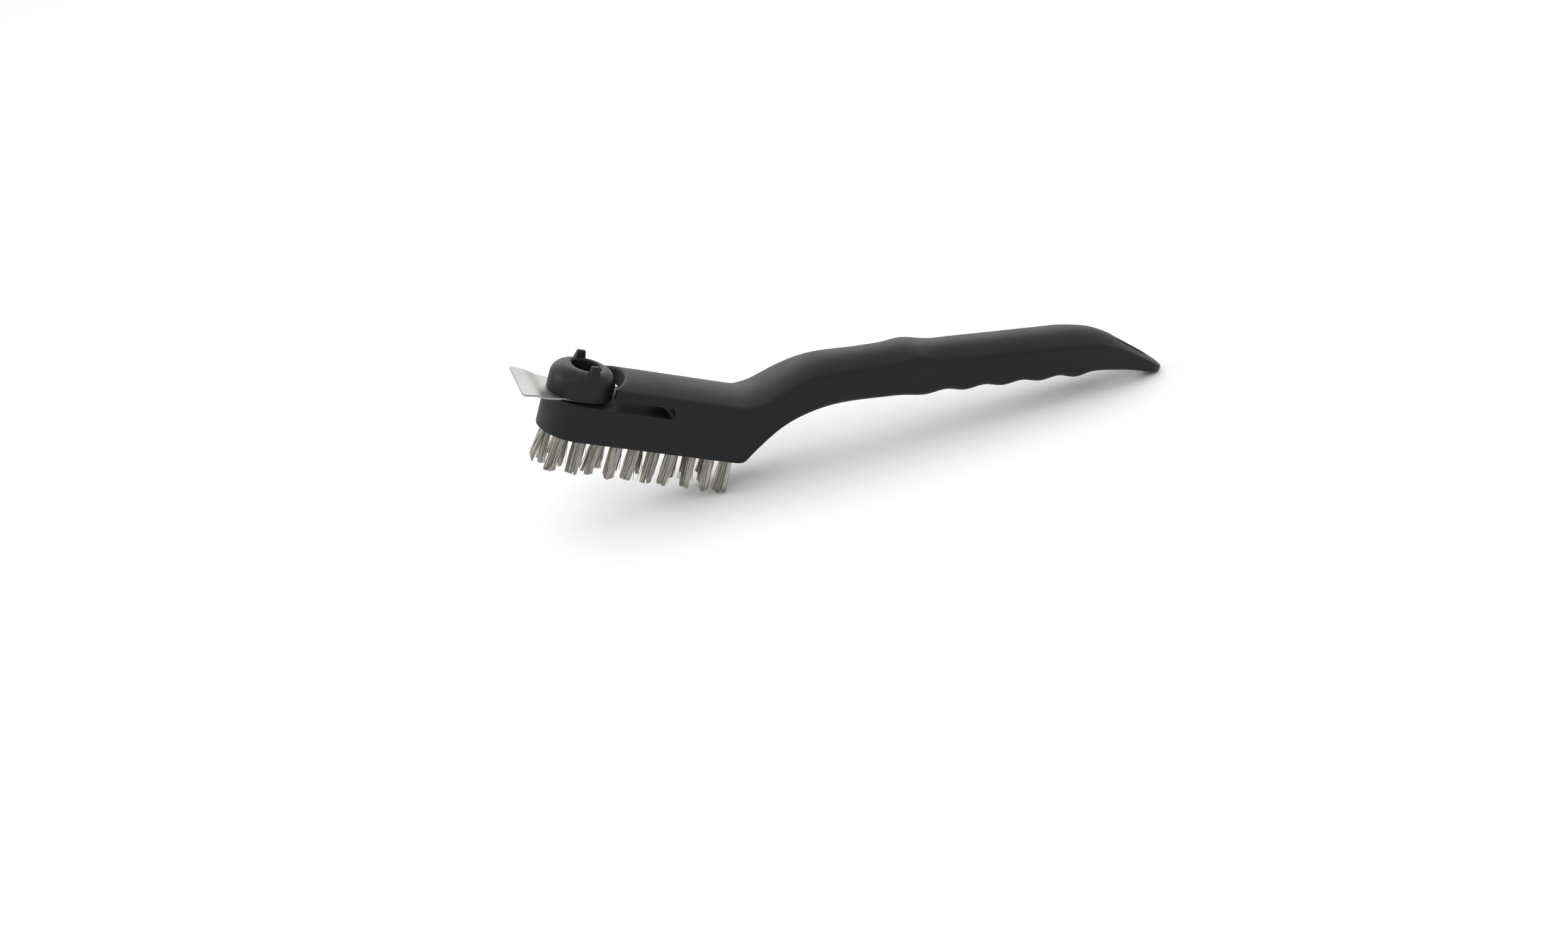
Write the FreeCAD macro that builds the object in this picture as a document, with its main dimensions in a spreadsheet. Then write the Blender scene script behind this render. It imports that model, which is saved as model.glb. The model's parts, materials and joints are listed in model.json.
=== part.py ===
import FreeCAD, Part
import math
import os
import Sketcher

# Grill cleaning brush, in millimetres.
# The pieces are drawn in the head's frame: X = 0 on the knob's axis and +X towards the tail,
# Y across, Z = 0 on the underside of the bristle block and +Z towards the knob.
# At the end every piece gets the same Placement, which lays the brush down as it rests:
# on the rear wire tufts and the tail, with the middle of its box over the origin.

Vector = FreeCAD.Vector
doc = FreeCAD.newDocument("grill_brush")
sheet = doc.addObject("Spreadsheet::Sheet", "dims")

DIMS = {
    # bristle block and the housing above the slot
    "head_half_width": 17.2, "head_ridge": 31.2, "head_crown_drop": 4.6, "head_end": 66.0,
    "head_shoulder": 3.2, "head_lower_round": 1.0, "nose_centre": 1.0, "front_room": 24.0,
    "deck_height": 17.6, "housing_front": 12.5, "recess_radius": 18.5,
    "slot_ceiling": 22.7, "slot_end": 41.6, "slot_corner": 1.9,
    "nose_edge_round": 0.8, "rim_round": 1.6,
    # grip
    "ridge_slope": 0.265, "under_slope": 0.2735, "crest_first": 165.0, "crest_pitch": 19.0,
    "scallop_depth": 1.5, "grip_ridge": 69.5, "grip_under": 45.3, "grip_half_width": 13.6,
    "grip_crown_drop": 6.3, "grip_shoulder": 4.0, "grip_lower_round": 5.0,
    "loft_lead": 5.0, "loft_lag": 1.8,
    # hang slot in the tail
    "hang_centre": 270.5, "hang_straight": 13.0, "hang_radius": 4.0, "hang_rim_round": 1.4,
    # pivot
    "insert_radius": 3.5, "insert_depth": 8.0, "thread_radius": 2.5,
    "friction_radius": 8.0, "friction_depth": 1.2, "running_gap": 0.05,
    "shank_radius": 2.4, "shank_grip": 6.5, "screw_head_radius": 4.4, "screw_head_height": 2.6,
    "socket_radius": 1.5, "socket_depth": 1.6, "washer_thickness": 0.8, "washer_radius": 5.2,
    "wave_thickness": 0.5,
    # scraper plate
    "plate_underside": 17.9, "plate_thickness": 0.9, "plate_root": 12.6, "plate_waist": 12.2,
    "plate_waist_at": 10.0, "plate_tip_half": 17.4, "plate_tip_at": 29.8, "plate_tip_round": 1.5,
    "plate_rise": 1.1, "plate_rise_at": 16.2, "plate_rise_run": 8.6, "key_side": 9.0,
    # knob
    "knob_radius": 15.3, "knob_wall_top": 25.0, "knob_top": 31.8, "knob_bevel": 0.2,
    "bowl_radius": 6.6, "bowl_straight": 2.6, "bowl_floor": 22.6, "bowl_shift": 0.6,
    "bowl_round": 1.0, "ear_foot": 24.6, "ear_top": 35.1, "ear_foot_half": 3.6,
    "ear_top_half": 1.9, "ear_foot_inner": 8.6, "ear_foot_outer": 14.7, "ear_top_inner": 9.2,
    "ear_top_outer": 11.5, "ear_shift": 0.8, "ear_turn": 6.0, "ear_round": 0.7,
    # wire tufts and their anchors
    "tuft_pitch": 9.0, "tuft_row_gap": 9.3, "tuft_hole_radius": 2.75, "tuft_hole_depth": 6.0,
    "tuft_root_radius": 2.6, "tuft_tip_radius": 3.0, "tuft_length": 18.6,
    "anchor_height": 1.6, "anchor_thickness": 0.4, "anchor_span": 6.6, "anchor_lift": 1.0,
    # how the brush lies when it is put down, in degrees
    "rest_tilt": 23.76,
}
# Sections of the neck, the thumb bulge and the tail: place along X, ridge, underside,
# half width, drop of the crown at its sides, shoulder radius and lower corner radius.
NECK = [
    (68.5, 31.2, 0.0, 17.2, 4.6, 3.2, 1.0),
    (71.0, 31.2, 0.0, 17.2, 4.6, 3.2, 1.0),
    (73.5, 31.2, 0.0, 17.2, 4.6, 3.2, 1.0),
    (76.0, 31.5, 0.0, 17.1, 4.6, 3.3, 1.1),
    (78.5, 32.3, 0.0, 17.0, 4.6, 3.3, 1.3),
    (81.0, 33.5, 0.7, 16.9, 4.6, 3.4, 1.6),
    (83.5, 34.9, 3.9, 16.7, 4.6, 3.5, 2.0),
    (87.0, 37.7, 8.8, 16.4, 4.7, 3.6, 2.6),
    (93.0, 43.0, 16.5, 16.0, 4.9, 3.7, 3.2),
    (99.0, 47.8, 22.2, 15.5, 5.2, 3.8, 3.8),
    (107.0, 52.6, 27.7, 14.9, 5.6, 3.9, 4.3),
    (118.0, 56.6, 33.2, 14.2, 6.0, 4.0, 4.7),
    (129.0, 59.8, 36.8, 13.7, 6.3, 4.0, 5.0),
    (136.0, 62.1, 38.7, 13.5, 6.6, 4.0, 5.0),
    (143.0, 64.4, 40.6, 13.6, 6.2, 4.0, 5.0),
    (149.5, 67.0, 42.5, 14.0, 5.2, 4.0, 5.0),
    (156.0, 68.2, 43.8, 14.1, 4.4, 4.0, 5.0),
]
TAIL = [
    (241.0, 88.5, 65.8, 13.5, 6.0, 4.0, 5.0),
    (246.5, 88.9, 68.7, 13.2, 5.4, 3.8, 4.6),
    (252.0, 88.5, 70.6, 12.8, 4.7, 3.5, 4.2),
    (259.0, 87.3, 72.0, 12.1, 3.8, 3.0, 3.4),
    (268.0, 84.8, 73.3, 11.2, 2.8, 2.3, 2.4),
    (277.0, 82.1, 74.1, 10.5, 1.9, 1.7, 1.7),
    (281.5, 80.6, 74.1, 9.9, 1.5, 1.4, 1.4),
    (284.5, 79.5, 74.0, 8.9, 1.2, 1.2, 1.2),
    (287.0, 78.6, 74.1, 7.3, 0.9, 1.2, 1.2),
    (288.6, 77.9, 74.3, 5.6, 0.6, 1.1, 1.1),
]
SECTION_FIELDS = ("at", "ridge", "under", "half", "drop", "shoulder", "lower")
CREST_COUNT = 5
ACROSS = FreeCAD.Rotation(0.5, 0.5, 0.5, 0.5)
# The first tuft of each row along X, its side of the middle, and the tufts in the row.
TUFT_ROWS = {"near": (-6.4, -1, 10), "centre": (-11.4, 0, 10), "far": (-0.3, 1, 9)}


class Size:
    """A number together with the expression that ties it to the sheet."""

    def __init__(self, number, text):
        self.number = number
        self.text = text

    def __add__(self, other):
        other = as_size(other)
        return Size(self.number + other.number, "(%s + %s)" % (self.text, other.text))

    def __sub__(self, other):
        other = as_size(other)
        return Size(self.number - other.number, "(%s - %s)" % (self.text, other.text))

    def __mul__(self, other):
        other = as_size(other)
        return Size(self.number * other.number, "(%s * %s)" % (self.text, other.text))

    def __truediv__(self, other):
        other = as_size(other)
        return Size(self.number / other.number, "(%s / %s)" % (self.text, other.text))

    def __neg__(self):
        return self * -1


def as_size(value):
    return value if isinstance(value, Size) else Size(value, "%.9g" % value)


def root(size):
    return Size(math.sqrt(size.number), "sqrt(%s)" % size.text)


cells = {}


def put_cell(alias, number):
    row = len(cells) + 1
    sheet.set("A%d" % row, alias)
    sheet.set("B%d" % row, "%.9g" % number)
    sheet.setAlias("B%d" % row, alias)
    cells[alias] = Size(number, "dims." + alias)
    return cells[alias]


def dim(alias):
    return cells[alias]


def put_section(name, numbers):
    return {field: put_cell("%s_%s" % (name, field), number)
            for field, number in zip(SECTION_FIELDS, numbers)}


# ---- helpers for sketches and features --------------------------------------------------

def new_body(label):
    body = doc.addObject("PartDesign::Body", label)
    body.Label = label
    return body


def origin_feature(body, role):
    return next(item for item in body.Origin.OriginFeatures if item.Role == role)


def new_sketch(body, name, role, rise=None):
    """A sketch on one of the body's own planes, moved along its normal."""
    sketch = body.newObject("Sketcher::SketchObject", name)
    sketch.AttachmentSupport = (origin_feature(body, role), [""])
    sketch.MapMode = "FlatFace"
    rise = rise or as_size(0)
    sketch.AttachmentOffset = FreeCAD.Placement(Vector(0, 0, rise.number), FreeCAD.Rotation())
    sketch.setExpression(".AttachmentOffset.Base.z", rise.text)
    return sketch


def constrain(sketch, kind, *where, size=None):
    """Add one constraint; a size is bound to the sheet."""
    if size is None:
        sketch.addConstraint(Sketcher.Constraint(kind, *where))
        return
    index = sketch.addConstraint(Sketcher.Constraint(kind, *where, size.number))
    sketch.renameConstraint(index, "size_%d" % index)
    sketch.setExpression("Constraints.size_%d" % index, size.text)


def turning_arc(start, middle, stop):
    """The arc through three points that turn anticlockwise."""
    centre = Part.Arc(start, middle, stop).toShape().Curve.Center
    first, last = [math.atan2((point - centre).y, (point - centre).x) for point in (start, stop)]
    if last < first:
        last += 2 * math.pi
    circle = Part.Circle(centre, Vector(0, 0, 1), (start - centre).Length)
    return Part.ArcOfCircle(circle, first, last)


def draw_outline(sketch, corners, arcs=None):
    """A closed outline through corners, each an (x, y) of sizes.

    arcs[i] = (middle x, middle y, letter, place) makes the edge after corner i an arc
    through that middle, whose centre has that place along X or Y.
    """
    arcs = arcs or {}
    points = [Vector(as_size(x).number, as_size(y).number, 0) for x, y in corners]
    ends = []
    for i, start in enumerate(points):
        stop = points[(i + 1) % len(points)]
        if i not in arcs:
            sketch.addGeometry(Part.LineSegment(start, stop))
            ends.append((1, 2))
            continue
        middle_x, middle_y, letter, place = arcs[i]
        middle = Vector(as_size(middle_x).number, as_size(middle_y).number, 0)
        forward = (middle - start).cross(stop - middle).z > 0
        sketch.addGeometry(turning_arc(start, middle, stop) if forward
                           else turning_arc(stop, middle, start))
        ends.append((1, 2) if forward else (2, 1))
    for i, (x, y) in enumerate(corners):
        before = (i - 1) % len(points)
        constrain(sketch, "Coincident", before, ends[before][1], i, ends[i][0])
        constrain(sketch, "DistanceX", -1, 1, i, ends[i][0], size=as_size(x))
        constrain(sketch, "DistanceY", -1, 1, i, ends[i][0], size=as_size(y))
    for i, (middle_x, middle_y, letter, place) in arcs.items():
        constrain(sketch, "Distance" + letter, -1, 1, i, 3, size=as_size(place))


def draw_circle(sketch, x, y, radius):
    """A circle with its centre and radius bound to the sheet."""
    x, y, radius = as_size(x), as_size(y), as_size(radius)
    centre = Vector(x.number, y.number, 0)
    index = sketch.addGeometry(Part.Circle(centre, Vector(0, 0, 1), radius.number))
    constrain(sketch, "DistanceX", -1, 1, index, 3, size=x)
    constrain(sketch, "DistanceY", -1, 1, index, 3, size=y)
    constrain(sketch, "Radius", index, size=radius)


def pad(body, sketch, length, reverse=False, both=False):
    feature = body.newObject("PartDesign::Pad", sketch.Name + "_pad")
    feature.Profile = sketch
    feature.Length = length.number
    feature.setExpression("Length", length.text)
    feature.Reversed = reverse
    feature.Midplane = both
    doc.recompute()
    return feature


def pocket(body, sketch, depth=None, reverse=False, both=False):
    """Cut the sketch to a depth, or all the way through; it has to take something away."""
    before = body.Shape.Volume
    feature = body.newObject("PartDesign::Pocket", sketch.Name + "_pocket")
    feature.Profile = sketch
    feature.Reversed = reverse
    feature.Midplane = both
    if depth is None:
        feature.Type = "ThroughAll"
    else:
        feature.Length = depth.number
        feature.setExpression("Length", depth.text)
    doc.recompute()
    if body.Shape.Volume > before - 1e-3:
        raise RuntimeError(feature.Name + " cuts nothing")
    return feature


def round_edges(body, name, radius, wanted):
    """Fillet the edges of the body's tip that the function wanted picks."""
    base = body.Tip
    names = ["Edge%d" % (i + 1) for i, edge in enumerate(base.Shape.Edges) if wanted(edge)]
    if not names:
        raise RuntimeError(name + " finds no edge")
    feature = body.newObject("PartDesign::Fillet", name)
    feature.Base = (base, names)
    feature.Radius = radius.number
    feature.setExpression("Radius", radius.text)
    doc.recompute()
    return feature


def primitive(kind, name, sizes, base=(0, 0, 0), turn=0.0):
    """A Part primitive whose properties and place are bound to the sheet."""
    item = doc.addObject("Part::" + kind, name)
    for prop, size in sizes.items():
        size = as_size(size)
        setattr(item, prop, size.number)
        item.setExpression(prop, size.text)
    base = [as_size(value) for value in base]
    item.Placement = FreeCAD.Placement(Vector(*[size.number for size in base]),
                                       FreeCAD.Rotation(Vector(0, 0, 1), turn))
    for letter, size in zip("xyz", base):
        item.setExpression(".Placement.Base." + letter, size.text)
    return item


def cut(name, base, tool):
    item = doc.addObject("Part::Cut", name)
    item.Base = base
    item.Tool = tool
    return item


def ring(name, outer, inner, bottom, height):
    """A flat ring on the knob's axis."""
    disc = primitive("Cylinder", name + "_disc", {"Radius": outer, "Height": height},
                     (0, 0, bottom))
    hole = primitive("Cylinder", name + "_hole", {"Radius": inner, "Height": height},
                     (0, 0, bottom))
    return cut(name, disc, hole)


# ---- handle ------------------------------------------------------------------------------

def section_sketch(name, section):
    """A cross-section of the handle: flat below, round lower corners, arched on top."""
    half, drop = section["half"], section["drop"]
    shoulder, lower = section["shoulder"], section["lower"]
    crown = (half * half + drop * drop) / (drop * 2)
    reach = root((crown - shoulder) * (crown - shoulder) - (half - shoulder) * (half - shoulder))
    side_top = section["ridge"] - section["under"] - crown + reach
    centre_height = side_top.number - reach.number
    w, low, top = half.number, lower.number, side_top.number
    turn = math.atan2(reach.number, w - shoulder.number)

    def arc(x, y, radius, start, stop):
        return Part.ArcOfCircle(Part.Circle(Vector(x, y, 0), Vector(0, 0, 1), radius), start, stop)

    at, under = section["at"], section["under"]
    sketch = doc.addObject("Sketcher::SketchObject", name)
    sketch.Placement = FreeCAD.Placement(Vector(at.number, 0, under.number), ACROSS)
    sketch.setExpression(".Placement.Base.x", at.text)
    sketch.setExpression(".Placement.Base.z", under.text)
    sketch.addGeometry([
        Part.LineSegment(Vector(low - w, 0, 0), Vector(w - low, 0, 0)),
        arc(w - low, low, low, -math.pi / 2, 0),
        Part.LineSegment(Vector(w, low, 0), Vector(w, top, 0)),
        arc(w - shoulder.number, top, shoulder.number, 0, turn),
        arc(0, centre_height, crown.number, turn, math.pi - turn),
        arc(shoulder.number - w, top, shoulder.number, math.pi - turn, math.pi),
        Part.LineSegment(Vector(-w, top, 0), Vector(-w, low, 0)),
        arc(low - w, low, low, math.pi, 1.5 * math.pi),
    ])
    for i in range(8):
        constrain(sketch, "Tangent", i, 2, (i + 1) % 8, 1)
    constrain(sketch, "Horizontal", 0)
    constrain(sketch, "Vertical", 2)
    constrain(sketch, "Vertical", 6)
    constrain(sketch, "PointOnObject", 0, 1, -1)
    constrain(sketch, "PointOnObject", 4, 3, -2)
    constrain(sketch, "Equal", 1, 7)
    constrain(sketch, "Equal", 3, 5)
    constrain(sketch, "Equal", 2, 6)
    constrain(sketch, "DistanceX", -1, 1, 2, 1, size=half)
    constrain(sketch, "DistanceY", 2, 1, 2, 2, size=side_top - lower)
    constrain(sketch, "Radius", 1, size=lower)
    constrain(sketch, "Radius", 3, size=shoulder)
    constrain(sketch, "Radius", 4, size=crown)
    return sketch


def grip_sections():
    """The scalloped part of the grip: a section on each crest and in each hollow."""
    sections = []
    for step in range(2 * CREST_COUNT - 2):
        along = dim("crest_pitch") * (step / 2)
        hollow = dim("scallop_depth") * (step % 2)
        sections.append({
            "at": dim("crest_first") + along,
            "ridge": dim("grip_ridge") + dim("ridge_slope") * along,
            "under": dim("grip_under") + dim("under_slope") * along + hollow,
            "half": dim("grip_half_width"), "drop": dim("grip_crown_drop"),
            "shoulder": dim("grip_shoulder"), "lower": dim("grip_lower_round"),
        })
    return sections


def moved_section(section, along):
    """The same section further along X."""
    return dict(section, at=section["at"] + along)


def make_handle(neck, tail):
    head = {"at": dim("head_end"), "ridge": dim("head_ridge"), "under": as_size(0),
            "half": dim("head_half_width"), "drop": dim("head_crown_drop"),
            "shoulder": dim("head_shoulder"), "lower": dim("head_lower_round")}
    # The loft is smooth only between its end spans, so it runs past both ends and is trimmed.
    lead, lag = dim("loft_lead"), dim("loft_lag")
    sections = [moved_section(head, -lead * 2), moved_section(head, -lead), head]
    sections += neck + grip_sections() + tail
    sections += [moved_section(tail[-1], lag), moved_section(tail[-1], lag * 2)]
    grip_long = doc.addObject("Part::Loft", "grip_long")
    grip_long.Sections = [section_sketch("section_%d" % i, section)
                          for i, section in enumerate(sections)]
    grip_long.Solid = True
    grip_long.MaxDegree = 5
    wide = dim("head_half_width") * 4
    grip_room = primitive("Box", "grip_room",
                          {"Length": tail[-1]["at"] - dim("head_end"), "Width": wide,
                           "Height": dim("head_ridge") * 4},
                          (dim("head_end"), wide / -2, -dim("head_ridge")))
    grip_blank = doc.addObject("Part::Common", "grip_blank")
    grip_blank.Base, grip_blank.Tool = grip_long, grip_room
    head_blank = extrude("head_blank", section_sketch("head_section", head), (-1, 0, 0),
                         dim("head_end") + dim("front_room"))
    doc.recompute()

    # The two blanks share the section at the head's end, so they are sewn without that face.
    seam = dim("head_end").number
    faces = [face for blank in (head_blank, grip_blank) for face in blank.Shape.Faces
             if max(abs(face.BoundBox.XMin - seam), abs(face.BoundBox.XMax - seam)) > 0.1]
    shell = Part.makeShell(faces)
    shell.sewShape(0.001)
    handle_blank = doc.addObject("Part::Feature", "handle_blank")
    handle_blank.Shape = Part.Solid(shell)

    body = new_body("handle_moulding")
    body.BaseFeature = handle_blank
    doc.recompute()
    cut_nose(body)
    cut_deck_and_slot(body)
    cut_hang_slot(body)
    drill_pivot(body)
    return drill_tuft_holes(body)


def cut_nose(body):
    """Round the front of the block in plan."""
    half, centre = dim("head_half_width"), dim("nose_centre")
    front, side = -dim("front_room") - 1, half + 4
    sketch = new_sketch(body, "nose", "XY_Plane")
    corners = [(centre, side), (front, side), (front, -side), (centre, -side),
               (centre, -half), (centre, half)]
    draw_outline(sketch, corners, {4: (centre - half, 0, "X", centre)})
    pocket(body, sketch, reverse=True)
    round_edges(body, "nose_round", dim("nose_edge_round"), is_nose_edge)


def is_nose_edge(edge):
    box = edge.BoundBox
    return box.ZMax < 0.01 and box.XMax < dim("nose_centre").number + 0.01 and box.YLength > 20


def cut_deck_and_slot(body):
    """Clear the room for the knob above the deck, and the slot that the plate stows in."""
    deck, ceiling, side = dim("deck_height"), dim("slot_ceiling"), dim("head_half_width") + 4
    front, radius, back = dim("housing_front"), dim("recess_radius"), -dim("front_room") - 1
    reach = root(radius * radius - front * front)
    sketch = new_sketch(body, "knob_room", "XY_Plane", rise=deck)
    corners = [(front, side), (back, side), (back, -side), (front, -side),
               (front, -reach), (front, reach)]
    draw_outline(sketch, corners, {4: (radius, 0, "X", 0)})
    pocket(body, sketch, reverse=True)
    round_edges(body, "recess_rim", dim("rim_round"), is_recess_rim)

    corner, end = dim("slot_corner"), dim("slot_end")
    slant = corner * (1 - math.sqrt(0.5))
    sketch = new_sketch(body, "stowing_slot", "XZ_Plane")
    corners = [(0, deck), (end - corner, deck), (end, deck + corner),
               (end, ceiling - corner), (end - corner, ceiling), (0, ceiling)]
    draw_outline(sketch, corners, {1: (end - slant, deck + slant, "X", end - corner),
                                   3: (end - slant, ceiling - slant, "X", end - corner)})
    pocket(body, sketch, both=True)


def is_recess_rim(edge):
    """The edges between the housing's front and its crown, shoulders and sides."""
    box, front, back = edge.BoundBox, dim("housing_front").number, dim("recess_radius").number
    inside = box.XMin > front - 0.01 and box.XMax < back + 0.01
    return inside and box.ZMax > dim("deck_height").number + 1 and edge.Length > 0.5


def cut_hang_slot(body):
    """The long hole through the tail that the brush hangs by."""
    centre, straight, radius = dim("hang_centre"), dim("hang_straight"), dim("hang_radius")
    left, right = centre - straight / 2, centre + straight / 2
    sketch = new_sketch(body, "hang_slot", "XY_Plane")
    corners = [(left, radius), (left, -radius), (right, -radius), (right, radius)]
    draw_outline(sketch, corners, {0: (left - radius, 0, "X", left),
                                   2: (right + radius, 0, "X", right)})
    pocket(body, sketch, reverse=True)
    round_edges(body, "hang_rim", dim("hang_rim_round"), is_hang_rim)


def is_hang_rim(edge):
    box, radius = edge.BoundBox, dim("hang_radius").number + 0.2
    reach = dim("hang_straight").number / 2 + radius
    along = box.XMin > dim("hang_centre").number - reach and \
        box.XMax < dim("hang_centre").number + reach
    return along and box.YMin > -radius and box.YMax < radius and box.ZLength < 4.5


def drill_pivot(body):
    """The hole for the threaded insert, and the seat for the friction washer above it."""
    sketch = new_sketch(body, "insert_hole", "XY_Plane", rise=dim("deck_height"))
    draw_circle(sketch, 0, 0, dim("insert_radius"))
    pocket(body, sketch, depth=dim("insert_depth") + dim("friction_depth"))
    sketch = new_sketch(body, "friction_seat", "XY_Plane", rise=dim("deck_height"))
    draw_circle(sketch, 0, 0, dim("friction_radius"))
    pocket(body, sketch, depth=dim("friction_depth"))


def drill_tuft_holes(body):
    """One blind hole for each tuft."""
    drills = []
    for row_name, (first, side, count) in TUFT_ROWS.items():
        for step in range(count):
            drills.append(primitive(
                "Cylinder", "%s_drill_%d" % (row_name, step + 1),
                {"Radius": dim("tuft_hole_radius"), "Height": dim("tuft_hole_depth") + 2},
                (dim("first_" + row_name) + dim("tuft_pitch") * step,
                 dim("tuft_row_gap") * side, -2)))
    group = doc.addObject("Part::Compound", "tuft_drills")
    group.Links = drills
    return cut("handle_body", body, group)


# ---- tufts and anchors ---------------------------------------------------------------------

def make_tufts():
    """Each tuft is a bundle folded over a flat anchor at the bottom of its hole."""
    tufts, anchors = [], []
    length = dim("tuft_length") + dim("tuft_hole_depth")
    anchor_base = dim("tuft_hole_depth") - dim("anchor_lift") - dim("anchor_height")
    for row_name, (first, side, count) in TUFT_ROWS.items():
        across = dim("tuft_row_gap") * side
        for step in range(count):
            along = dim("first_" + row_name) + dim("tuft_pitch") * step
            number = len(tufts) + 1
            bundle = primitive("Cone", "bundle_%02d" % number,
                               {"Radius1": dim("tuft_tip_radius"),
                                "Radius2": dim("tuft_root_radius"), "Height": length},
                               (along, across, -dim("tuft_length")))
            anchor = primitive("Box", "anchor_%02d" % number,
                               {"Length": dim("anchor_thickness"), "Width": dim("anchor_span"),
                                "Height": dim("anchor_height")},
                               (along - dim("anchor_thickness") / 2,
                                across - dim("anchor_span") / 2, anchor_base))
            tufts.append(cut("bristle_tuft_%02d" % number, bundle, anchor))
            anchors.append(anchor)
    group = doc.addObject("Part::Compound", "tuft_anchors")
    group.Links = anchors
    return tufts + [group]


# ---- pivot ---------------------------------------------------------------------------------

def make_pivot():
    """Screw, insert and washers: they hold the knob and the plate down on the deck."""
    deck, floor, gap = dim("deck_height"), dim("bowl_floor"), dim("running_gap")
    seat = deck - dim("friction_depth")
    insert = ring("threaded_insert", dim("insert_radius"), dim("thread_radius"),
                  seat - dim("insert_depth"), dim("insert_depth"))
    friction = ring("friction_washer", dim("friction_radius") - gap, dim("thread_radius"),
                    seat, dim("plate_underside") - gap - seat)
    wave = ring("wave_washer", dim("washer_radius") - 0.3, dim("thread_radius"),
                floor + gap, dim("wave_thickness"))
    washer_base = floor + gap + dim("wave_thickness")
    washer = ring("screw_washer", dim("washer_radius"), dim("thread_radius"),
                  washer_base, dim("washer_thickness"))

    head_base = washer_base + dim("washer_thickness")
    shank = primitive("Cylinder", "screw_shank",
                      {"Radius": dim("shank_radius"),
                       "Height": head_base - seat + dim("shank_grip")},
                      (0, 0, seat - dim("shank_grip")))
    head = primitive("Cylinder", "screw_head",
                     {"Radius": dim("screw_head_radius"), "Height": dim("screw_head_height")},
                     (0, 0, head_base))
    blank = doc.addObject("Part::Fuse", "screw_blank")
    blank.Base, blank.Tool = shank, head
    socket = primitive("Prism", "screw_socket",
                       {"Circumradius": dim("socket_radius"), "Height": dim("socket_depth") + 1},
                       (0, 0, head_base + dim("screw_head_height") - dim("socket_depth")))
    socket.Polygon = 6
    screw = cut("pivot_screw", blank, socket)
    return [insert, friction, wave, washer, screw]


# ---- scraper plate ---------------------------------------------------------------------------

def loose_sketch(name, upright=False):
    """A sketch of its own, flat or standing in the XZ plane."""
    sketch = doc.addObject("Sketcher::SketchObject", name)
    if upright:
        sketch.Placement = FreeCAD.Placement(Vector(0, 0, 0),
                                             FreeCAD.Rotation(Vector(1, 0, 0), 90))
    return sketch


def extrude(name, sketch, direction, length, both=False):
    item = doc.addObject("Part::Extrusion", name)
    item.Base = sketch
    item.DirMode = "Custom"
    item.Dir = direction
    item.LengthFwd = length.number
    item.setExpression("LengthFwd", length.text)
    item.Symmetric = both
    item.Solid = True
    return item


def draw_strip(sketch):
    """The blade from the side: a strip whose tip is raised by a joggle of two equal arcs."""
    low, thick = dim("plate_underside"), dim("plate_thickness")
    rise, run, start = dim("plate_rise"), dim("plate_rise_run"), -dim("plate_rise_at")
    turn = 2 * math.atan2(rise.number, run.number)
    middle, stop = start - run / 2, start - run
    back, front = dim("plate_root") + 1, -dim("plate_tip_at") - 1
    bend = run / (2 * math.sin(turn))
    inner, outer = bend - thick / 2, bend + thick / 2
    lean, climb = thick / 2 * math.sin(turn), thick / 2 * math.cos(turn)
    middle_height = low + (thick + rise) / 2
    corners = [
        (back, low), (back, low + thick), (start, low + thick),
        (middle + lean, middle_height + climb), (stop, low + rise + thick),
        (front, low + rise + thick), (front, low + rise), (stop, low + rise),
        (middle - lean, middle_height - climb), (start, low),
    ]
    half_sin, half_cos = math.sin(turn / 2), math.cos(turn / 2)
    above = low + thick / 2 + bend
    below = low + thick / 2 + rise - bend
    draw_outline(sketch, corners, {
        2: (start - inner * half_sin, above - inner * half_cos, "Y", above),
        3: (stop + outer * half_sin, below + outer * half_cos, "Y", below),
        7: (stop + inner * half_sin, below + inner * half_cos, "Y", below),
        8: (start - outer * half_sin, above - outer * half_cos, "Y", above),
    })


def draw_blade(sketch):
    """The blade from above: round at the pivot, flared to a straight tip with round corners."""
    waist, radius, flare = dim("plate_waist"), dim("plate_root"), -dim("plate_waist_at")
    tip, half, corner = -dim("plate_tip_at"), dim("plate_tip_half"), dim("plate_tip_round")
    slant = corner * (1 - math.sqrt(0.5))
    neck = -root(radius * radius - waist * waist)
    draw_outline(sketch, [
        (neck, waist), (flare, waist), (tip + corner, half), (tip, half - corner),
        (tip, corner - half), (tip + corner, -half), (flare, -waist), (neck, -waist),
    ], {
        2: (tip + slant, half - slant, "X", tip + corner),
        4: (tip + slant, slant - half, "X", tip + corner),
        7: (radius, 0, "X", 0),
    })


def make_plate():
    """The joggled strip trimmed to the blade's outline, with a square hole for the knob's key."""
    strip_sketch = loose_sketch("strip_outline", upright=True)
    draw_strip(strip_sketch)
    strip = extrude("strip", strip_sketch, (0, 1, 0), dim("plate_tip_half") * 3, both=True)
    blade_sketch = loose_sketch("blade_outline")
    draw_blade(blade_sketch)
    blade = extrude("blade", blade_sketch, (0, 0, 1), dim("plate_underside") * 2)
    blank = doc.addObject("Part::Common", "plate_blank")
    blank.Base, blank.Tool = strip, blade
    side = dim("key_side") + dim("running_gap") * 2
    key_hole = primitive("Box", "key_hole",
                         {"Length": side, "Width": side, "Height": dim("plate_thickness") * 3},
                         (side / -2, side / -2, dim("plate_underside") - 1))
    return cut("scraper_plate", blank, key_hole)


# ---- knob --------------------------------------------------------------------------------------

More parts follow.
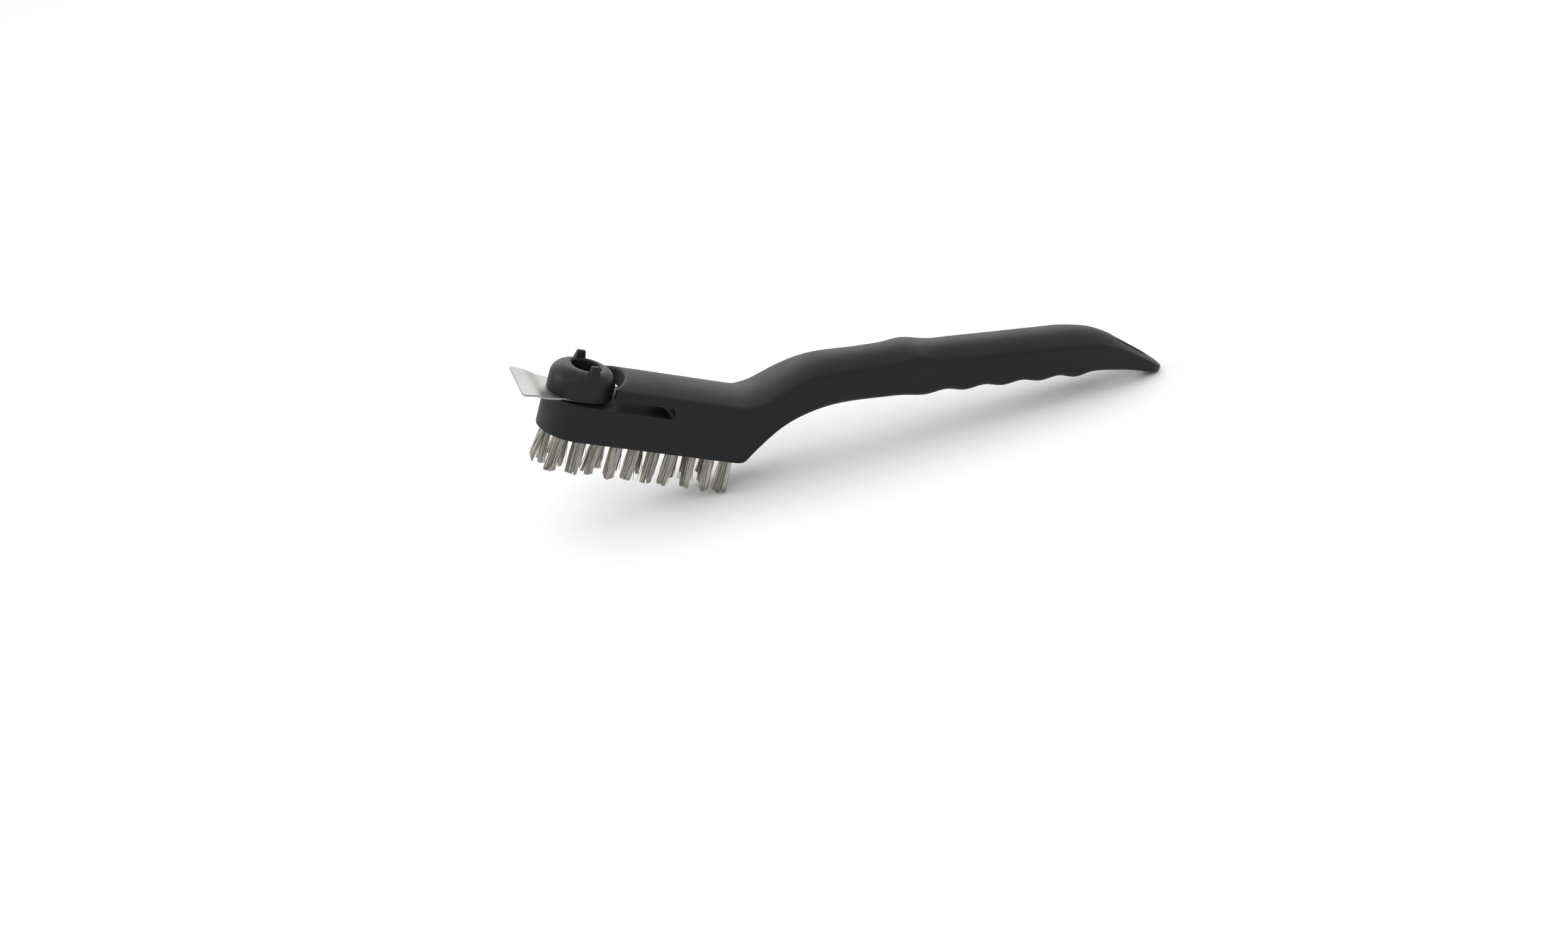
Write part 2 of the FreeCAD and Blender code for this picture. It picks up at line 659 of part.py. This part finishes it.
def make_knob():
    """A dome with a deep bowl on top, two ears to turn it by and a square key below."""
    body = new_body("knob")
    base = dim("plate_underside") + dim("plate_thickness") + dim("running_gap")
    radius, wall, top, bevel = dim("knob_radius"), dim("knob_wall_top"), dim("knob_top"), \
        dim("knob_bevel")
    dome = top - wall
    slant = dome * (1 - math.sqrt(0.5))
    sketch = new_sketch(body, "dome", "XZ_Plane")
    corners = [(0, base), (radius - bevel, base), (radius, base + bevel), (radius, wall),
               (radius - dome, top), (0, top)]
    draw_outline(sketch, corners, {3: (radius - slant, top - slant, "X", radius - dome)})
    turned = body.newObject("PartDesign::Revolution", "dome_turned")
    turned.Profile = sketch
    turned.ReferenceAxis = (sketch, ["V_Axis"])
    turned.Angle = 360
    doc.recompute()

    add_ears(body)

    half = dim("key_side") / 2
    sketch = new_sketch(body, "key", "XY_Plane", rise=base)
    draw_outline(sketch, [(half, half), (-half, half), (-half, -half), (half, -half)])
    pad(body, sketch, base - dim("plate_underside") - dim("running_gap"), reverse=True)

    reach, bowl, middle = dim("bowl_straight") / 2, dim("bowl_radius"), dim("bowl_shift")
    sketch = new_sketch(body, "bowl", "XY_Plane", rise=dim("bowl_floor"))
    corners = [(middle + bowl, -reach), (middle + bowl, reach), (middle - bowl, reach),
               (middle - bowl, -reach)]
    draw_outline(sketch, corners, {1: (middle, reach + bowl, "Y", reach),
                                   3: (middle, -reach - bowl, "Y", -reach)})
    pocket(body, sketch, depth=dim("ear_top"), reverse=True)

    sketch = new_sketch(body, "pivot_bore", "XY_Plane")
    draw_circle(sketch, 0, 0, dim("shank_radius") + dim("running_gap"))
    pocket(body, sketch, reverse=True)
    round_edges(body, "ear_tops", dim("ear_round"), is_ear_top)
    round_edges(body, "bowl_rim", dim("bowl_round"), is_bowl_rim)
    return body


def is_ear_top(edge):
    return edge.BoundBox.ZMax > dim("ear_top").number - 0.1


def is_bowl_rim(edge):
    box, top = edge.BoundBox, dim("knob_top").number
    reach = dim("bowl_radius").number + dim("bowl_shift").number + 0.1
    return abs(box.ZMin - top) + abs(box.ZMax - top) < 0.01 and max(-box.XMin, box.XMax) < reach


def add_ears(body):
    """Two tapered ears on opposite sides of the bowl."""
    for side, name in ((1, "far"), (-1, "near")):
        sketches = []
        for level in ("foot", "top"):
            sketch = new_sketch(body, "%s_ear_%s" % (name, level), "XY_Plane",
                                rise=dim("ear_" + level))
            sketch.AttachmentOffset = FreeCAD.Placement(
                sketch.AttachmentOffset.Base, FreeCAD.Rotation(Vector(0, 0, 1), DIMS["ear_turn"]))
            sketch.setExpression(".AttachmentOffset.Rotation.Angle", dim("ear_turn").text)
            half, middle = dim("ear_%s_half" % level), dim("ear_shift")
            inner = dim("ear_%s_inner" % level) * side
            outer = dim("ear_%s_outer" % level) * side
            draw_outline(sketch, [(middle + half, inner), (middle + half, outer),
                                  (middle - half, outer), (middle - half, inner)])
            sketches.append(sketch)
        ear = body.newObject("PartDesign::AdditiveLoft", name + "_ear")
        ear.Profile = sketches[0]
        ear.Sections = sketches[1:]
        ear.Ruled = True
        doc.recompute()


# ---- assembly ----------------------------------------------------------------------------------

def set_sheet():
    for alias, number in DIMS.items():
        put_cell(alias, number)
    for row_name, (first, side, count) in TUFT_ROWS.items():
        put_cell("first_" + row_name, first)
    neck = [put_section("neck_%d" % (i + 1), numbers) for i, numbers in enumerate(NECK)]
    tail = [put_section("tail_%d" % (i + 1), numbers) for i, numbers in enumerate(TAIL)]
    doc.recompute()
    return neck, tail


def lay_down(pieces):
    """Turn the brush into the way it rests, then centre its box over the origin."""
    tilt = FreeCAD.Rotation(Vector(0, 1, 0), DIMS["rest_tilt"])
    for piece in pieces:
        piece.Placement = FreeCAD.Placement(Vector(0, 0, 0), tilt)
    doc.recompute()
    box = FreeCAD.BoundBox()
    for piece in pieces:
        box.add(piece.Shape.optimalBoundingBox(False, False))
    shift = Vector(-box.Center.x, -box.Center.y, -box.ZMin)
    for piece in pieces:
        piece.Placement = FreeCAD.Placement(shift, tilt)
    doc.recompute()
    return shift, box


def check_and_export(pieces):
    for item in doc.Objects:
        if "Invalid" in item.State or "Error" in item.State:
            raise RuntimeError("%s failed: %s" % (item.Name, item.State))
    for piece in pieces:
        if piece.Shape.isNull() or not piece.Shape.isValid():
            raise RuntimeError(piece.Label + " has no valid shape")
    os.makedirs("parts", exist_ok=True)
    for piece in pieces:
        piece.Shape.exportStep("parts/%s.step" % piece.Label)


neck_sections, tail_sections = set_sheet()
nodes = [make_handle(neck_sections, tail_sections), make_plate(), make_knob()]
nodes += make_pivot() + make_tufts()
shift, box = lay_down(nodes)
check_and_export(nodes)
print("nodes", len(nodes))
print("origin of the head's frame", shift)
print("box", box.XLength, box.YLength, box.ZLength)
for node in nodes[:3]:
    print(node.Label, len(node.Shape.Solids), round(node.Shape.Volume, 1))
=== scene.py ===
import json
import math
import random

import bmesh
import bpy
from mathutils import Matrix, Vector
from mathutils.bvhtree import BVHTree


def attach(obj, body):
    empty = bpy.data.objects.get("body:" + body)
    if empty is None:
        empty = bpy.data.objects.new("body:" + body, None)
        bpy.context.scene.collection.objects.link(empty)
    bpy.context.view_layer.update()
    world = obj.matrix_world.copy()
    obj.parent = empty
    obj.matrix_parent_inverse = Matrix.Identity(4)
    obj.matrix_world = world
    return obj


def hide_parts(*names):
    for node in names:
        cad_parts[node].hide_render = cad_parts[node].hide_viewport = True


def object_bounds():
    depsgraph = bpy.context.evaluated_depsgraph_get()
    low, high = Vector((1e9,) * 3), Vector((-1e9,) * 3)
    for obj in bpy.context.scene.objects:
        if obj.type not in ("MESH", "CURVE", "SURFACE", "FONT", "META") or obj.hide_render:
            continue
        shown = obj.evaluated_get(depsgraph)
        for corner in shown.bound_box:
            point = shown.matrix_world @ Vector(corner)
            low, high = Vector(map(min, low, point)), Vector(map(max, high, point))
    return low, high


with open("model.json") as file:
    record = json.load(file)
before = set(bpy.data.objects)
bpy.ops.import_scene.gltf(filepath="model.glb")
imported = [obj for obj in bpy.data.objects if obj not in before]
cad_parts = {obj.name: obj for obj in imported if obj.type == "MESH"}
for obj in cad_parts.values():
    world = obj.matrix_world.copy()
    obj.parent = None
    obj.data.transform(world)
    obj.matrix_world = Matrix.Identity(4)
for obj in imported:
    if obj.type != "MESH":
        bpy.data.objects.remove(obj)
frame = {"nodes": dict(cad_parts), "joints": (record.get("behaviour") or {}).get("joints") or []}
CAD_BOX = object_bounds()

# Lengths are in metres. "Head frame" is the frame the brush is drawn in: its origin is under the
# knob's axis on the underside of the bristle block, +X runs towards the tail and +Z to the knob.
MM = 0.001
PLATE_MIDDLE = 18.45 * MM       # height of the hinge's point above the head frame's origin
WORLD_STRENGTH = 0.86
FLOOR_SIZE = 14.0

# ---- the head frame ------------------------------------------------------------------------

hinge = frame["joints"][0]
HINGE_AXIS = Vector(hinge["axis"]).normalized()
TILT = Matrix.Rotation(math.atan2(HINGE_AXIS.x, HINGE_AXIS.z), 4, "Y")
HEAD = Matrix.Translation(Vector(hinge["pos_m"]) - HINGE_AXIS * PLATE_MIDDLE) @ TILT
HEAD_INVERSE = HEAD.inverted()


def head_points(node):
    """A CAD node's vertices in the head frame."""
    return [HEAD_INVERSE @ vertex.co for vertex in frame["nodes"][node].data.vertices]


def new_object(name, mesh, material, body):
    """A mesh given in the row frame becomes a piece that rides on a body."""
    mesh.materials.append(material)
    for polygon in mesh.polygons:
        polygon.use_smooth = True
    piece = bpy.data.objects.new(name, mesh)
    bpy.context.scene.collection.objects.link(piece)
    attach(piece, body)
    return piece


# ---- materials -----------------------------------------------------------------------------

class Nodes:
    """Short calls for building one material's node tree."""

    def __init__(self, name):
        self.material = bpy.data.materials.new(name)
        self.material.use_nodes = True
        self.tree = self.material.node_tree
        self.shader = self.tree.nodes["Principled BSDF"]
        self.place = self.add("ShaderNodeTexCoord").outputs["Object"]

    def add(self, kind, **settings):
        node = self.tree.nodes.new(kind)
        for key, value in settings.items():
            setattr(node, key, value)
        return node

    def link(self, source, target):
        self.tree.links.new(source, target)

    def noise(self, scale, detail=3.0, roughness=0.55, stretch=None):
        """Noise over the piece's own space, per metre, drawn out along an axis by stretch."""
        node = self.add("ShaderNodeTexNoise")
        node.inputs["Scale"].default_value = scale
        node.inputs["Detail"].default_value = detail
        node.inputs["Roughness"].default_value = roughness
        place = self.place
        if stretch:
            mapping = self.add("ShaderNodeMapping")
            mapping.inputs["Scale"].default_value = stretch
            self.link(place, mapping.inputs["Vector"])
            place = mapping.outputs["Vector"]
        self.link(place, node.inputs["Vector"])
        return node.outputs["Fac"]

    def spread(self, value, low, high, low_to, high_to):
        """Map a value's range low..high onto another."""
        node = self.add("ShaderNodeMapRange")
        for socket, number in (("From Min", low), ("From Max", high),
                               ("To Min", low_to), ("To Max", high_to)):
            node.inputs[socket].default_value = number
        self.link(value, node.inputs["Value"])
        return node.outputs["Result"]

    def ramp(self, value, stops):
        node = self.add("ShaderNodeValToRGB")
        elements = node.color_ramp.elements
        while len(elements) < len(stops):
            elements.new(0.5)
        for element, (place, colour) in zip(elements, stops):
            element.position = place
            element.color = (*colour, 1.0)
        self.link(value, node.inputs["Fac"])
        return node.outputs["Color"]

    def bump(self, heights):
        """Stack bumps, each (height, strength, distance)."""
        normal = None
        for height, strength, distance in heights:
            node = self.add("ShaderNodeBump")
            node.inputs["Strength"].default_value = strength
            node.inputs["Distance"].default_value = distance
            self.link(height, node.inputs["Height"])
            if normal:
                self.link(normal, node.inputs["Normal"])
            normal = node.outputs["Normal"]
        self.link(normal, self.shader.inputs["Normal"])

    def set(self, **values):
        for name, value in values.items():
            self.shader.inputs[name.replace("_", " ")].default_value = value


def plastic(name, dark, light, smooth, rough, specular, grain):
    """Moulded plastic: a fine spark-eroded grain, and slow changes in tone and gloss."""
    nodes = Nodes(name)
    fine = nodes.noise(grain, 2.0, 0.6)
    patches = nodes.noise(38.0, 3.0, 0.5)
    clouds = nodes.noise(9.0, 2.0, 0.5)
    nodes.link(nodes.ramp(clouds, [(0.3, dark), (0.7, light)]), nodes.shader.inputs["Base Color"])
    nodes.link(nodes.spread(patches, 0.3, 0.7, smooth, rough), nodes.shader.inputs["Roughness"])
    nodes.set(Specular_IOR_Level=specular)
    nodes.bump([(fine, 0.32, 0.00016), (patches, 0.02, 0.0006)])
    return nodes.material


def steel(name, dark, light, smooth, rough, grain, stretch, bump):
    """Metal with fine drawn lines along one axis."""
    nodes = Nodes(name)
    lines = nodes.noise(grain, 3.0, 0.6, stretch)
    clouds = nodes.noise(45.0, 3.0, 0.55)
    nodes.link(nodes.ramp(clouds, [(0.32, dark), (0.68, light)]), nodes.shader.inputs["Base Color"])
    nodes.link(nodes.spread(lines, 0.25, 0.75, smooth, rough), nodes.shader.inputs["Roughness"])
    nodes.set(Metallic=1.0)
    nodes.bump([(lines, bump, 0.00005)])
    return nodes.material


def wire_steel():
    """Drawn wire, each strand a little lighter or darker than the next."""
    nodes = Nodes("bristle_wire_steel")
    strand = nodes.add("ShaderNodeNewGeometry").outputs["Random Per Island"]
    nodes.link(nodes.ramp(strand, [(0.0, (0.17, 0.155, 0.135)), (0.45, (0.42, 0.39, 0.35)),
                                   (1.0, (0.68, 0.64, 0.585))]),
               nodes.shader.inputs["Base Color"])
    lines = nodes.noise(1800.0, 2.0, 0.6, (1.0, 1.0, 0.15))
    nodes.link(nodes.spread(lines, 0.3, 0.7, 0.32, 0.52), nodes.shader.inputs["Roughness"])
    nodes.set(Metallic=0.75)
    nodes.bump([(lines, 0.15, 0.00003)])
    return nodes.material


HANDLE_PLASTIC = plastic("handle_black_plastic", (0.0068, 0.0066, 0.0066),
                         (0.0088, 0.0086, 0.0086), 0.42, 0.52, 0.21, 3600.0)
KNOB_PLASTIC = plastic("knob_black_plastic", (0.0080, 0.0080, 0.0082),
                       (0.0105, 0.0105, 0.0108), 0.38, 0.48, 0.22, 3900.0)
NYLON = plastic("nylon_washer", (0.60, 0.58, 0.53), (0.68, 0.66, 0.61), 0.38, 0.50, 0.5, 2200.0)
SHEET_STEEL = steel("satin_stainless", (0.27, 0.267, 0.262), (0.32, 0.317, 0.31),
                    0.34, 0.44, 420.0, (0.08, 1.0, 1.0), 0.06)
SCREW_STEEL = steel("zinc_screw_steel", (0.42, 0.42, 0.43), (0.52, 0.52, 0.53),
                    0.30, 0.45, 900.0, (1.0, 1.0, 0.2), 0.15)
BRASS = steel("turned_brass", (0.62, 0.44, 0.18), (0.74, 0.55, 0.26),
              0.28, 0.42, 900.0, (1.0, 1.0, 6.0), 0.20)
ANCHOR_STEEL = steel("anchor_strip_steel", (0.30, 0.29, 0.27), (0.42, 0.41, 0.38),
                     0.35, 0.50, 900.0, (1.0, 0.2, 1.0), 0.20)
WIRE = wire_steel()

NODE_MATERIALS = {
    "handle_body": HANDLE_PLASTIC, "knob": KNOB_PLASTIC, "scraper_plate": SHEET_STEEL,
    "pivot_screw": SCREW_STEEL, "screw_washer": SCREW_STEEL, "wave_washer": SCREW_STEEL,
    "threaded_insert": BRASS, "friction_washer": NYLON, "tuft_anchors": ANCHOR_STEEL,
}
for node_name, material in NODE_MATERIALS.items():
    node = frame["nodes"][node_name]
    if not node.material_slots:
        node.data.materials.append(material)
    for slot in node.material_slots:
        slot.material = material

# ---- wire tufts ----------------------------------------------------------------------------

TUFT_SEED = 400
WIRES_IN_HALF = 96
WIRE_RADIUS = 0.13 * MM
BOX_ROOM = WIRE_RADIUS * 1.2    # from a wire's middle to the CAD model's box
WIRE_SIDES = 5
WIRE_RINGS = 6
WIRE_BOW = 0.22 * MM            # how far a wire bends sideways at its middle
ROOT_DEPTH = 4.5 * MM           # from the top of the CAD bundle down to the wires' upper ends
HALF_GAP = 0.15 * MM            # from the anchor's middle to the nearest wire
CLUMPS_IN_HALF = 3
CLUMP_SHIFT = 0.38 * MM, 0.4 * MM   # spread of the clumps' tips along and across the head
CLUMP_CUT = 1.5 * MM            # the most that a whole clump is shorter than the tuft
RAGGED_CUT = 0.25 * MM          # how unevenly the wires of one clump are cut
TIP_GAP = 0.15 * MM             # from the end of the CAD bundle to the longest wire
SPRAY, STRAY_SPRAY = 0.20 * MM, 1.3 * MM    # spread of the tips of one clump, and of strays
STRAY_SHARE, STRAY_CUT = 0.02, 1.8          # share of strays, and how much more is cut off them
FAN, NOSE_FAN = -0.08, 0.30     # how much wider the tuft is at its tips than at its root
NOSE_FRONT_LEAN = 0.5           # how much more the front half of a tuft on the nose leans
# How far the tufts lean to the front, in degrees: the near row from the nose to the tail, then
# the first tufts of the centre and far rows. The rest lean at random between LOOSE_LEANS.
NEAR_LEANS = (6.0, 1.0, 5.0, 2.0, 4.0, 1.7, 3.3, -3.0, -4.0, 0.0)
NOSE_LEANS = {11: 5.0, 21: 3.0}
LOOSE_LEANS = -1.5, 2.5


def add_tube(mesh, points, radii, sides, out=None):
    """A thin tube through the points, closed at both ends, with its first corner towards out."""
    rings = []
    turns = [2 * math.pi * k / sides for k in range(sides)]
    for i, (point, radius) in enumerate(zip(points, radii)):
        along = (points[min(i + 1, len(points) - 1)] - points[max(i - 1, 0)]).normalized()
        side = out or along.orthogonal().normalized()
        other = along.cross(side).normalized()
        rings.append([mesh.verts.new(point + (side * math.cos(a) + other * math.sin(a)) * radius)
                      for a in turns])
    for low, high in zip(rings, rings[1:]):
        for k in range(sides):
            j = (k + 1) % sides
            mesh.faces.new((low[k], low[j], high[j], high[k]))
    mesh.faces.new(rings[0][::-1])
    mesh.faces.new(rings[-1])


def cut_at_box(root, tip):
    """The tip, or the place where the wire would leave the CAD model's box."""
    share = 1.0
    for start, stop, low, high in zip(HEAD @ root, HEAD @ tip, *CAD_BOX):
        for limit in (low + BOX_ROOM, high - BOX_ROOM):
            if (start - limit) * (stop - limit) < 0:
                share = min(share, (limit - start) / (stop - start))
    return root.lerp(tip, share)


def kept_inside(point):
    """The point, moved back inside the CAD model's box if it strays out of it."""
    return Vector([min(max(value, low + BOX_ROOM), high - BOX_ROOM)
                   for value, low, high in zip(point, *CAD_BOX)])


def wire_points(root, tip, bow):
    """Points from the root to the tip, bowed a little sideways."""
    points = []
    for i in range(WIRE_RINGS):
        t = i / (WIRE_RINGS - 1)
        points.append(kept_inside(HEAD @ (root.lerp(tip, t) + bow * math.sin(math.pi * t))))
    return points


def tuft_lean(number, draw):
    """The lean towards the front as a slope."""
    if number <= len(NEAR_LEANS):
        degrees = NEAR_LEANS[number - 1]
    else:
        degrees = NOSE_LEANS.get(number, draw.uniform(*LOOSE_LEANS))
    return math.tan(math.radians(degrees))


def make_tuft(node):
    """A bundle folded over its anchor: two halves of a few clumps, cut off raggedly."""
    number = int(node[-2:])
    draw = random.Random(TUFT_SEED + number)
    shape = head_points(node)
    low, high = min(p.z for p in shape), max(p.z for p in shape)
    centre = Vector(((min(p.x for p in shape) + max(p.x for p in shape)) / 2,
                     (min(p.y for p in shape) + max(p.y for p in shape)) / 2, 0))
    radius = max(p.x for p in shape if p.z > high - MM) - centre.x - WIRE_RADIUS
    slope = tuft_lean(number, draw)
    start = high - ROOT_DEPTH
    on_nose = number in NOSE_LEANS
    fan = NOSE_FAN if on_nose else FAN
    mesh = bmesh.new()
    for half in (-1, 1):
        clumps = [(Vector((draw.gauss(0, CLUMP_SHIFT[0]), draw.gauss(0, CLUMP_SHIFT[1]), 0)),
                   draw.uniform(0.0, CLUMP_CUT)) for _ in range(CLUMPS_IN_HALF)]
        for _ in range(WIRES_IN_HALF):
            across = draw.uniform(-1, 1)
            depth = draw.random() ** 0.6 * math.sqrt(1 - across * across)
            offset = Vector((half * (HALF_GAP + (radius - HALF_GAP) * depth),
                             across * radius, 0))
            root = centre + offset + Vector((0, 0, start))
            shift, cut = clumps[min(CLUMPS_IN_HALF - 1, int((across + 1) / 2 * CLUMPS_IN_HALF))]
            stray = draw.random() < STRAY_SHARE
            spray = STRAY_SPRAY if stray else SPRAY
            tip = centre + offset * (1 + fan) + shift \
                + Vector((draw.gauss(0, spray), draw.gauss(0, spray), 0))
            ragged = abs(draw.gauss(0, RAGGED_CUT)) + TIP_GAP
            tip.z = low + cut * (STRAY_CUT if stray else 1) + ragged
            tip.x -= slope * (start - tip.z) * (1.0 - half * NOSE_FRONT_LEAN * on_nose)
            bow = Vector((draw.gauss(0, WIRE_BOW), draw.gauss(0, WIRE_BOW), 0))
            points = wire_points(root, cut_at_box(root, tip), bow)
            add_tube(mesh, points, [WIRE_RADIUS] * WIRE_RINGS, WIRE_SIDES)
    data = bpy.data.meshes.new("wires_%02d" % number)
    mesh.to_mesh(data)
    mesh.free()
    tuft = new_object("wires_%02d" % number, data, WIRE, "handle")
    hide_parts(node)


for node_name in sorted(frame["nodes"]):
    if node_name.startswith("bristle_tuft_"):
        make_tuft(node_name)

# ---- parting line on the grip ------------------------------------------------------------------

LINE_START, LINE_STOP, LINE_STEP = 162.0 * MM, 240.0 * MM, 1.5 * MM
LINE_DEPTH = 13.0 * MM
LINE_RADIUS = 0.06 * MM
LINE_SIDES = 6
LINE_FADE = 8                   # rings over which the line grows out of the skin at each end


def handle_tree():
    data = frame["nodes"]["handle_body"].data
    data.calc_loop_triangles()
    return BVHTree.FromPolygons([HEAD_INVERSE @ vertex.co for vertex in data.vertices],
                                [tuple(t.vertices) for t in data.loop_triangles])


def skin_point(tree, x, side):
    """The point on the grip's side, LINE_DEPTH below the ridge."""
    ridge = tree.ray_cast(Vector((x, 0, 0.3)), Vector((0, 0, -1)))[0]
    start = Vector((x, 0.1 * side, ridge.z - LINE_DEPTH))
    return tree.ray_cast(start, Vector((0, -side, 0)))[0]


def make_parting_line(tree, name, side):
    """A thin raised line where the two halves of the mould met."""
    steps = int((LINE_STOP - LINE_START) / LINE_STEP)
    points = [HEAD @ skin_point(tree, LINE_START + LINE_STEP * i, side) for i in range(steps)]
    last = len(points) - 1
    radii = [LINE_RADIUS * min(1.0, i / LINE_FADE + 0.1, (last - i) / LINE_FADE + 0.1)
             for i in range(len(points))]
    mesh = bmesh.new()
    add_tube(mesh, points, radii, LINE_SIDES, Vector((0, side, 0)))
    bmesh.ops.recalc_face_normals(mesh, faces=mesh.faces[:])
    data = bpy.data.meshes.new(name)
    mesh.to_mesh(data)
    mesh.free()
    return new_object(name, data, HANDLE_PLASTIC, "handle")


skin = handle_tree()
make_parting_line(skin, "parting_line_near", -1)
make_parting_line(skin, "parting_line_far", 1)

# ---- stage, lights and camera --------------------------------------------------------------

floor_mesh = bpy.data.meshes.new("floor")
half = FLOOR_SIZE / 2
floor_mesh.from_pydata([(-half, -half, 0), (half, -half, 0), (half, half, 0), (-half, half, 0)],
                       [], [(0, 1, 2, 3)])
floor = bpy.data.objects.new("floor", floor_mesh)
bpy.context.scene.collection.objects.link(floor)
floor_nodes = Nodes("pale_floor")
paper = floor_nodes.noise(300.0, 2.0)
floor_nodes.link(floor_nodes.ramp(paper, [(0.3, (0.875, 0.875, 0.875)), (0.7, (0.88, 0.88, 0.88))]),
                 floor_nodes.shader.inputs["Base Color"])
floor_nodes.set(Roughness=0.9, Specular_IOR_Level=0.0)
floor_mesh.materials.append(floor_nodes.material)

world = bpy.data.worlds.new("studio")
world.use_nodes = True
world.node_tree.nodes["Background"].inputs["Color"].default_value = (1.0, 1.0, 1.0, 1.0)
world.node_tree.nodes["Background"].inputs["Strength"].default_value = WORLD_STRENGTH
bpy.context.scene.world = world


def softbox(name, place, target, width, height, power):
    """A rectangular area light that faces the target."""
    light = bpy.data.lights.new(name, "AREA")
    light.shape = "RECTANGLE"
    light.size, light.size_y, light.energy = width, height, power
    lamp = bpy.data.objects.new(name, light)
    bpy.context.scene.collection.objects.link(lamp)
    lamp.location = place
    lamp.rotation_euler = (Vector(target) - Vector(place)).to_track_quat("-Z", "Y").to_euler()
    return lamp


MIDDLE = (0.0, 0.0, 0.03)
softbox("overhead_softbox", (0.3, 0.5, 2.0), MIDDLE, 4.4, 3.6, 23.0)
rear = softbox("rear_softbox", (0.2, 1.6, 0.85), MIDDLE, 2.4, 1.0, 14.0)
rear.visible_diffuse = False    # it only brightens the tops at a low angle, and casts no shadow
softbox("front_strip", (-0.5, -0.8, 1.0), MIDDLE, 0.9, 0.3, 2.0)
softbox("left_softbox", (-1.3, 0.25, 0.6), MIDDLE, 0.6, 0.6, 6.0)

CAMERA_PLACE = (-0.2303, -0.785, 0.4198)
CAMERA_TURN = -13.6        # degrees about the vertical, 0 looking along +Y
CAMERA_RISE = 27.48        # degrees above the floor
CAMERA_ROLL = -8.76        # degrees about the line of sight
LENS, SENSOR = 43.39, 36.0

camera_data = bpy.data.cameras.new("camera")
camera_data.lens = LENS
camera_data.sensor_width = SENSOR
camera_data.clip_start = 0.01
camera = bpy.data.objects.new("camera", camera_data)
bpy.context.scene.collection.objects.link(camera)
camera.matrix_world = (Matrix.Translation(CAMERA_PLACE)
                       @ Matrix.Rotation(math.radians(CAMERA_TURN), 4, "Z")
                       @ Matrix.Rotation(math.radians(90 - CAMERA_RISE), 4, "X")
                       @ Matrix.Rotation(math.radians(CAMERA_ROLL), 4, "Z"))
bpy.context.scene.camera = camera
bpy.context.scene.view_settings.view_transform = "Standard"
